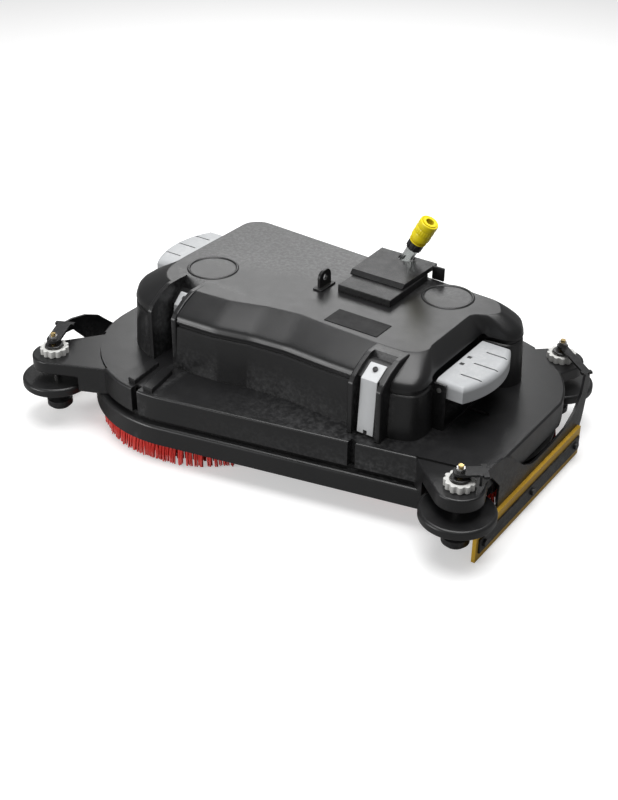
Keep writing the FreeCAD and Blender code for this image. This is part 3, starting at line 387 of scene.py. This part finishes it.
def make_brush(side, seed):
    """The tufts of one brush, in rows from its bare middle to its splayed rim."""
    chance = random.Random(seed)
    low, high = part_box(f"bristles_{side}")
    middle = (Vector(low) + Vector(high)) / 2
    rim = (high[0] - low[0]) / 2 - RIM_MARGIN
    root = high[2] + ROOT_SINK
    points, faces = [], []
    for row in range(ROWS):
        radius = rim - FIRST_ROW_IN - row * ROW_PITCH
        outer = row < SPLAY_ROWS
        count = int(2 * math.pi * radius / (TUFT_PITCH if outer else INNER_PITCH))
        for tuft in range(count):
            turn_by = 2 * math.pi * (tuft + 0.5 * (row % 2) + chance.uniform(-0.14, 0.14)) / count
            outward = Vector((math.cos(turn_by), math.sin(turn_by), 0))
            across = Vector((-outward.y, outward.x, 0))
            foot = Vector((middle.x, middle.y, root)) + outward * (radius - 0.002)
            tip_at = chance.uniform(0.0005, 0.003)
            splay = RIM_SPLAY if row == 0 else INNER_SPLAY
            sideways = across * chance.uniform(-0.002, 0.002)
            lean = sideways + outward * (splay + chance.uniform(-0.0015, 0.001))
            if not outer:
                tip = Vector((foot.x, foot.y, tip_at)) + lean
                add_strand(points, faces, [foot, foot.lerp(tip, 0.5), tip], TUFT_RAD * 1.3, 5)
                continue
            for filament in range(FILAMENTS):
                spin = 2 * math.pi * filament / FILAMENTS + chance.uniform(0, 0.8)
                spread_by = (outward * math.cos(spin) + across * math.sin(spin)) * TUFT_RAD
                start = foot + spread_by * 0.7
                worn_tip = Vector((foot.x, foot.y, tip_at + chance.uniform(0, 0.0015)))
                end = worn_tip + lean + spread_by * 1.15
                wave = across * chance.uniform(0.0003, 0.0008)
                line = [start, start.lerp(end, 0.35) + wave, start.lerp(end, 0.7) - wave, end]
                add_strand(points, faces, line, FILAMENT_RAD, 4)
    mesh = bpy.data.meshes.new(f"tufts_{side}")
    mesh.from_pydata(points, [], faces)
    mesh.update()
    smooth_faces(mesh)
    tufts = bpy.data.objects.new(f"tufts_{side}", mesh)
    bpy.context.scene.collection.objects.link(tufts)
    mesh.materials.append(red_nylon)
    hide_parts(f"bristles_{side}")
    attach(tufts, f"brush_{side}")


make_brush("left", 11)
make_brush("right", 23)

# ---------------------------------------------------------------- drives under the hood
# A cast gearbox and a motor stand over each brush; the shaft runs down through a ball bearing in the deck.
# Cast iron painted grey, with turned steel shafts.
steel = finish("zinc_plate", (0.42, 0.42, 0.42), (0.56, 0.56, 0.55), (0.75, 0.75, 0.75), (0.12, 0.1, 0.08),
               (0.22, 0.4), metallic=1.0)
cast_grey = finish("cast_grey", (0.10, 0.10, 0.11), (0.15, 0.15, 0.16), (0.3, 0.3, 0.3), (0.05, 0.05, 0.05),
                   (0.45, 0.6), depth=0.5)
paint(cast_grey, "gearbox_left", "gearbox_right", "motor_left", "motor_right")
paint(steel, "shaft_bearings", "drive_shaft_left", "drive_shaft_right")

# ---------------------------------------------------------------- hood
# One charcoal moulding over both motors: drafted walls, a lip under the knee, a low crown with a wavy
# front slope, two raised rings over the motors, a channel for each lift strap and a niche for a pedal.
HOOD_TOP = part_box("label_plate")[0][2]
HOOD_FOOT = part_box("hood")[0][2]
CROWN_RISE = 0.031
KNEE = HOOD_TOP - CROWN_RISE
DRAFT = 0.005
GROOVE_DEEP = 0.0022
hub_left, hub_right = (Vector(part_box(f"drive_hub_{side}")[0]) + Vector(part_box(f"drive_hub_{side}")[1])
                       for side in ("left", "right"))
MIDDLE = (hub_left + hub_right) / 4
# Corners as millimetres from the middle: (wall x, wall y), (top x, top y), rounding.
HOOD_PLAN = (
    ((-176, -157), (-172, -104), 8),
    ((-110, -153), (-112, -99), 9),
    ((-46, -139), (-50, -80), 9),
    ((14, -133), (2, -72), 9),
    ((89, -136), (62, -77), 9),
    ((205, -136), (182, -82), 20),
    ((238, -122), (210, -70), 16),
    ((243, -95), (218, -52), 14),
    ((236, -62), (214, -40), 12),
    ((236, 87), (214, 80), 12),
    ((278, 92), (240, 96), 18),
    ((288, 118), (250, 110), 22),
    ((262, 166), (230, 142), 40),
    ((-262, 184), (-254, 174), 22),
    ((-284, 162), (-275, 156), 16),
    ((-284, -20), (-275, -24), 30),
    ((-318, -40), (-272, -46), 24),
    ((-318, -85), (-264, -78), 28),
    ((-288, -132), (-242, -100), 28),
    ((-236, -157), (-208, -104), 20),
)
CORNER_STEPS = 6
# Crown section from the knee (0, 0) to the edge of the flat top (1, 1): share inwards, share of the rise.
CROWN_SECTION = ((0, 0), (0.02, 0.13), (0.08, 0.26), (0.2, 0.4), (0.44, 0.62), (0.68, 0.81), (0.84, 0.92),
                 (0.94, 0.98), (1, 1))
# Wall section below the knee: drop in metres (None is the foot), stand-out in metres. Its dip is the groove
# under the lip.
WALL_SECTION = ((None, DRAFT), (0.0135, 0.0012), (0.0115, -0.0004), (0.0105, -GROOVE_DEEP),
                (0.0075, -GROOVE_DEEP), (0.0062, 0.0004), (0.003, 0.0012), (0.0012, 0.0007))


# How much of a wall's length a corner's rounding may take at each end.
ROUND_SHARE = 0.46


def hood_outline(inwards, stand_out):
    """The hood's rounded plan outline, part way from its wall to its flat top and pushed out."""
    corners = []
    for wall, top, _ in HOOD_PLAN:
        corners.append(Vector(wall).lerp(Vector(top), inwards) / 1000)
    pushed = []
    for index, corner in enumerate(corners):
        before = (corner - corners[index - 1]).normalized()
        after = (corners[(index + 1) % len(corners)] - corner).normalized()
        out_before = Vector((before.y, -before.x))
        out_after = Vector((after.y, -after.x))
        pushed.append(corner + (out_before + out_after) * stand_out / (1 + out_before.dot(out_after)))
    outline = []
    for index, corner in enumerate(pushed):
        to_before = pushed[index - 1] - corner
        to_after = pushed[(index + 1) % len(pushed)] - corner
        reach = min(HOOD_PLAN[index][2] / 1000, ROUND_SHARE * to_before.length, ROUND_SHARE * to_after.length)
        start = corner + to_before.normalized() * reach
        end = corner + to_after.normalized() * reach
        for step in range(CORNER_STEPS):
            share = step / (CORNER_STEPS - 1)
            outline.append(start.lerp(corner, share).lerp(corner.lerp(end, share), share))
    return outline


def band_faces(first, steps, count):
    """Faces of a closed band: steps rings of count points each, in order from the point numbered first."""
    faces = []
    for step in range(steps):
        here = first + step * count
        there = first + (step + 1) % steps * count
        for index in range(count):
            after = (index + 1) % count
            faces.append((here + index, there + index, there + after, here + after))
    return faces


# Ring places as metres from the middle. Bead section: distance from the ring's radius, height over the top.
RING_PLACES = ((-0.209, -0.026), (0.157, 0.109))
RING_RAD = 0.040
RING_STEPS = 72
RING_SECTION = ((-0.0032, -0.001), (-0.0024, 0.0006), (-0.0008, 0.0018), (0.0008, 0.0018), (0.0024, 0.0006),
                (0.0032, -0.001))


def ring_on_top(points, faces, x, y):
    """A low raised ring with soft shoulders, as a closed bead sunk into the hood's top."""
    first = len(points)
    for step in range(RING_STEPS):
        turn_by = 2 * math.pi * step / RING_STEPS
        for off, rise in RING_SECTION:
            reach = RING_RAD + off
            points.append((x + reach * math.cos(turn_by), y + reach * math.sin(turn_by), HOOD_TOP + rise))
    faces += band_faces(first, RING_STEPS, len(RING_SECTION))


def solid_object(name, points, faces):
    """A mesh object from points and faces, with its normals made to face out."""
    mesh = bpy.data.meshes.new(name)
    mesh.from_pydata([tuple(point) for point in points], [], faces)
    shape = bmesh.new()
    shape.from_mesh(mesh)
    bmesh.ops.recalc_face_normals(shape, faces=shape.faces)
    shape.to_mesh(mesh)
    shape.free()
    obj = bpy.data.objects.new(name, mesh)
    bpy.context.scene.collection.objects.link(obj)
    return obj


def prism_along_x(name, left, right, section):
    """A solid with the same (y, z) section from one x to another, all in metres from the middle."""
    count = len(section)
    points = [(MIDDLE.x + x, MIDDLE.y + y, z) for x in (left, right) for y, z in section]
    faces = [tuple(range(count)), tuple(range(2 * count - 1, count - 1, -1))]
    for index in range(count):
        after = (index + 1) % count
        faces.append((index, after, count + after, count + index))
    return solid_object(name, points, faces)


def rolled_prism(name, left, right, section, width):
    """A prism along X with all its edges rolled."""
    block = prism_along_x(name, left, right, section)
    shape = bmesh.new()
    shape.from_mesh(block.data)
    bmesh.ops.bevel(shape, geom=shape.edges[:], offset=width, segments=4, profile=0.5, affect="EDGES")
    shape.to_mesh(block.data)
    shape.free()
    return block


def carve(obj, tools):
    """Join or cut an object with (tool, operation) pairs in order, keep the result and drop the tools."""
    for tool, operation in tools:
        step = obj.modifiers.new(operation.lower(), "BOOLEAN")
        step.operation = operation
        step.solver = "EXACT"
        step.object = tool
    bpy.context.view_layer.update()
    evaluated = obj.evaluated_get(bpy.context.evaluated_depsgraph_get())
    result = bpy.data.meshes.new_from_object(evaluated)
    obj.modifiers.clear()
    obj.data = result
    for tool, _ in tools:
        bpy.data.objects.remove(tool)


STRAP_HALF = 0.0205
RIB_HALF = 0.029
RIB_ROLL = 0.0025
# Section (y, z) of the raised block round a strap: upright in front, then sloping back into the crown.
RIB_TOP = HOOD_TOP + 0.0004
RIB_SECTION = ((-0.161, HOOD_FOOT), (-0.095, HOOD_FOOT), (-0.082, RIB_TOP), (-0.112, RIB_TOP),
               (-0.134, KNEE + 0.023), (-0.154, KNEE + 0.010), (-0.161, KNEE + 0.001))
# Back of each strap in metres: its middle x, y at foot, fold and end, z at fold and end.
STRAP_BACKS = {"left": (-0.208, -0.118, -0.109, -0.091, 0.204, 0.219),
               "right": (0.174, -0.152, -0.144, -0.119, 0.215, 0.229)}
# The channel is cut from in front of and below the hood to above it, and runs out past the strap's end.
CHANNEL_FRONT, CHANNEL_LOW, CHANNEL_HIGH = -0.25, 0.09, 0.26
CHANNEL_PAST_END, CHANNEL_RUN_OUT = 0.012, 0.03
# The niche for the right pedal: x and y limits in metres from the middle, foot, and roof over the knee.
NICHE_LEFT, NICHE_RIGHT = 0.228, 0.38
NICHE_FRONT, NICHE_BACK = -0.08, 0.086
NICHE_FOOT, NICHE_ROOF = 0.05, KNEE + 0.003
NICHE_ROLL = 0.006


def make_hood():
    """The hood's shell, carved for its straps and pedal, with beads for the rings."""
    levels = [(0, out, HOOD_FOOT if drop is None else KNEE - drop) for drop, out in WALL_SECTION]
    levels += [(inwards, 0, KNEE + rise * CROWN_RISE) for inwards, rise in CROWN_SECTION]
    points, faces = [], []
    for inwards, stand_out, height in levels:
        outline = hood_outline(inwards, stand_out)
        points += [(MIDDLE.x + spot.x, MIDDLE.y + spot.y, height) for spot in outline]
    count = len(outline)
    for level in range(len(levels) - 1):
        for index in range(count):
            after = (index + 1) % count
            low_ring, high_ring = level * count, (level + 1) * count
            faces.append((low_ring + index, low_ring + after, high_ring + after, high_ring + index))
    # Foot and top are closed, so that the boolean steps work on a solid.
    faces.append(tuple(range(count)))
    faces.append(tuple(range(len(points) - count, len(points))))
    shell = solid_object("hood_shell", points, faces)
    tools = []
    for side, (x, foot_y, fold_y, end_y, fold_z, end_z) in STRAP_BACKS.items():
        rib = rolled_prism(f"rib_{side}", x - RIB_HALF, x + RIB_HALF, RIB_SECTION, RIB_ROLL)
        tools.append((rib, "UNION"))
        channel = prism_along_x(
            f"strap_groove_{side}", x - STRAP_HALF, x + STRAP_HALF,
            [(CHANNEL_FRONT, CHANNEL_LOW), (foot_y, CHANNEL_LOW), (fold_y, fold_z), (end_y, end_z),
             (end_y + CHANNEL_PAST_END, end_z), (end_y + CHANNEL_RUN_OUT, CHANNEL_HIGH),
             (CHANNEL_FRONT, CHANNEL_HIGH)])
        tools.append((channel, "DIFFERENCE"))
    niche = rolled_prism("pedal_niche", NICHE_LEFT, NICHE_RIGHT,
                         [(NICHE_FRONT, NICHE_FOOT), (NICHE_BACK, NICHE_FOOT), (NICHE_BACK, NICHE_ROOF),
                          (NICHE_FRONT, NICHE_ROOF)], NICHE_ROLL)
    tools.append((niche, "DIFFERENCE"))
    carve(shell, tools)
    beads, bead_faces = [], []
    for x, y in RING_PLACES:
        ring_on_top(beads, bead_faces, MIDDLE.x + x, MIDDLE.y + y)
    rings = solid_object("hood_rings", beads, bead_faces)
    for piece in (shell, rings):
        roll_edges(piece, 0.0016, 32.0)
        piece.data.materials.clear()
        piece.data.materials.append(charcoal)
        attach(piece, "head")
    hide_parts("hood")


make_hood()

# ---------------------------------------------------------------- corner rollers
# Hard black wheels that fend the head off walls. Each turns on a plated pin under its ear, held by a cap.
CORNERS = ("left_front", "left_rear", "right_front", "right_rear")
ROLLERS = tuple(f"corner_roller_{corner}" for corner in CORNERS)
paint(roller_black, "roller_caps", *ROLLERS)
for name in ROLLERS:
    soften(name, 0.0015)
paint(steel, "roller_pins")

# ---------------------------------------------------------------- side wipers
# A folded plate with black powder coat carries an amber polyurethane lip, clamped under a strip by three
# screws. Brass rods hang it from scalloped nylon knobs, with plated lock nuts.
black_coat = finish("black_powder_coat", (0.006, 0.006, 0.0065), (0.010, 0.010, 0.0105), (0.16, 0.16, 0.165),
                    (0.010, 0.010, 0.009), (0.3, 0.42), depth=0.3, grain=1400.0, reach=0.3, specular=0.3)
amber = finish("amber_lip", (0.52, 0.29, 0.016), (0.64, 0.39, 0.03), (0.7, 0.47, 0.08), (0.25, 0.13, 0.02),
               (0.3, 0.46), depth=0.1)
brass = finish("brass", (0.56, 0.40, 0.16), (0.70, 0.52, 0.23), (0.85, 0.70, 0.38), (0.2, 0.13, 0.05),
               (0.2, 0.38), metallic=1.0)
knob_white = finish("knob_nylon", (0.58, 0.58, 0.56), (0.66, 0.66, 0.64), (0.7, 0.7, 0.68), (0.2, 0.19, 0.18),
                    (0.35, 0.5))
WIPER_STEEL = ("wiper_plate_left", "wiper_plate_right", "clamp_strip_left", "clamp_strip_right")
paint(black_coat, *WIPER_STEEL)
for name in WIPER_STEEL:
    soften(name, 0.0007)
paint(amber, "wiper_lip_left", "wiper_lip_right")
for name in ("wiper_lip_left", "wiper_lip_right"):
    soften(name, 0.0012)
paint(roller_black, "clamp_screws_left", "clamp_screws_right")
paint(steel, "rod_nuts_left", "rod_nuts_right")
paint(brass, "adjuster_rods_left", "adjuster_rods_right")
# Dish section: distance from the knob's axis, height over its top.
DISH_SECTION = ((0.0052, 0.0002), (0.0062, 0.0016), (0.0105, 0.0008), (0.0135, 0.0012), (0.0150, -0.0006))
DISH_STEPS = 40


def make_knob_dish(corner):
    """The dark dished washer set into the middle of a knob's top."""
    low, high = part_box(f"adjuster_knob_{corner}")
    x, y = (low[0] + high[0]) / 2, (low[1] + high[1]) / 2
    points = []
    for step in range(DISH_STEPS):
        turn_by = 2 * math.pi * step / DISH_STEPS
        points += [(x + reach * math.cos(turn_by), y + reach * math.sin(turn_by), high[2] + rise)
                   for reach, rise in DISH_SECTION]
    dish = solid_object(f"knob_dish_{corner}", points, band_faces(0, DISH_STEPS, len(DISH_SECTION)))
    smooth_faces(dish.data)
    dish.data.materials.append(roller_black)
    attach(dish, f"knob_{corner}")


for corner in CORNERS:
    paint(knob_white, f"adjuster_knob_{corner}")
    soften(f"adjuster_knob_{corner}", 0.001)
    make_knob_dish(corner)

# ---------------------------------------------------------------- lift straps
# Bent steel strips with a light grey coat run up the front of the hood and fold back at the top, where a
# dark screw holds each one.
pale_coat = finish("pale_grey_coat", (0.50, 0.51, 0.52), (0.55, 0.56, 0.57), (0.3, 0.3, 0.31),
                   (0.22, 0.215, 0.21), (0.34, 0.42), reach=0.25)
for side in ("left", "right"):
    paint(pale_coat, f"lift_strap_{side}")
    soften(f"lift_strap_{side}", 0.0009)
paint(black_coat, "strap_screws")

# ---------------------------------------------------------------- release pedals
# Light grey treads with three grooves, hinged on a plated pin between the ears of a black bracket.
pedal_grey = finish("pedal_grey_plastic", (0.36, 0.37, 0.38), (0.42, 0.43, 0.44), (0.52, 0.52, 0.52),
                    (0.16, 0.155, 0.15), (0.42, 0.55))
for side in ("left", "right"):
    paint(pedal_grey, f"pedal_{side}")
    soften(f"pedal_{side}", 0.0015)
paint(black_coat, "pedal_brackets")
soften("pedal_brackets", 0.0008)
paint(steel, "pedal_pins")

# ---------------------------------------------------------------- fittings on top
# A lug with a hole for the lifting link, a folded bracket in two steps with a flange, and a blank label.
label_black = finish("label_film", (0.003, 0.003, 0.0035), (0.004, 0.004, 0.0045), (0.01, 0.01, 0.01),
                     (0.004, 0.004, 0.004), (0.5, 0.6), depth=0.02, specular=0.2)
TOP_STEEL = ("lifting_lug", "bracket_base", "bracket_cover", "bracket_flange")
paint(black_coat, *TOP_STEEL)
for name in TOP_STEEL:
    soften(name, 0.0012)
paint(label_black, "label_plate")

# ---------------------------------------------------------------- water inlet
# A short clear hose leaves the hood, a fluted nut clamps it, and a yellow sleeve slides on the quick
# coupling. A black pipe under the hood shares the water between the brushes.
yellow = finish("yellow_plastic", (0.78, 0.62, 0.008), (0.86, 0.72, 0.015), (0.9, 0.78, 0.1),
                (0.42, 0.3, 0.01), (0.25, 0.36), depth=0.05)
clear = bpy.data.materials.new("clear_hose")
clear.use_nodes = True
clear_shader = clear.node_tree.nodes["Principled BSDF"]
clear_shader.inputs["Base Color"].default_value = (0.93, 0.95, 0.94, 1)
clear_shader.inputs["Transmission Weight"].default_value = 1.0
clear_shader.inputs["IOR"].default_value = 1.35
hose_marks = use_group(clear.node_tree, GRAIN, Grain__Scale=500.0, Depth=0.15, Rough__Low=0.04,
                       Rough__High=0.16)
clear.node_tree.links.new(hose_marks.outputs["Roughness"], clear_shader.inputs["Roughness"])
clear.node_tree.links.new(hose_marks.outputs["Normal"], clear_shader.inputs["Normal"])
paint(clear, "inlet_hose")
smooth_faces(nodes["inlet_hose"].data)
paint(roller_black, "union_nut")
paint(yellow, "coupling_body")
paint(charcoal, "water_manifold")
SLEEVE_RAD = 0.016
SLEEVE_BORE = 0.0121
SLEEVE_LEAN = math.radians(28)
SLEEVE_STEPS = 48
FLUTE_DEPTH = 0.0006
# Outer section along the sleeve: share of its length, share of its radius. The flutes are cut at the points
# numbered in FLUTED.
SLEEVE_SECTION = ((0.0, 0.93), (0.03, 0.985), (0.3, 1.0), (0.33, 0.94), (0.37, 0.94), (0.40, 1.0),
                  (0.60, 1.0), (0.63, 0.95), (0.67, 0.95), (0.70, 1.0), (0.96, 0.99), (1.0, 0.94))
FLUTED = (2, 5, 6, 7, 8, 9)


def make_sleeve():
    """The ribbed sliding sleeve of the coupling, turned about the leaning inlet."""
    low, high = (Vector(corner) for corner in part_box("coupling_sleeve"))
    middle = (low + high) / 2
    # The box of a leaning cylinder is this tall: length by the lean's cosine, plus diameter by its sine.
    long = (high.z - low.z - 2 * SLEEVE_RAD * math.sin(SLEEVE_LEAN)) / math.cos(SLEEVE_LEAN)
    axis = Vector((math.sin(SLEEVE_LEAN), 0, math.cos(SLEEVE_LEAN)))
    side_way = Vector((math.cos(SLEEVE_LEAN), 0, -math.sin(SLEEVE_LEAN)))
    back_way = Vector((0, 1, 0))
    section = [(share, SLEEVE_RAD * reach) for share, reach in SLEEVE_SECTION]
    section += [(1.0, SLEEVE_BORE + 0.001), (0.98, SLEEVE_BORE), (0.0, SLEEVE_BORE)]
    points = []
    for step in range(SLEEVE_STEPS):
        turn_by = 2 * math.pi * step / SLEEVE_STEPS
        around = side_way * math.cos(turn_by) + back_way * math.sin(turn_by)
        for index, (share, reach) in enumerate(section):
            dip = FLUTE_DEPTH if step % 2 and index in FLUTED else 0.0
            points.append(middle + axis * (share - 0.5) * long + around * (reach - dip))
    sleeve = solid_object("sleeve_grip", points, band_faces(0, SLEEVE_STEPS, len(section)))
    roll_edges(sleeve, 0.0003, 40.0)
    sleeve.data.materials.append(yellow)
    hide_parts("coupling_sleeve")
    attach(sleeve, "sleeve")


make_sleeve()
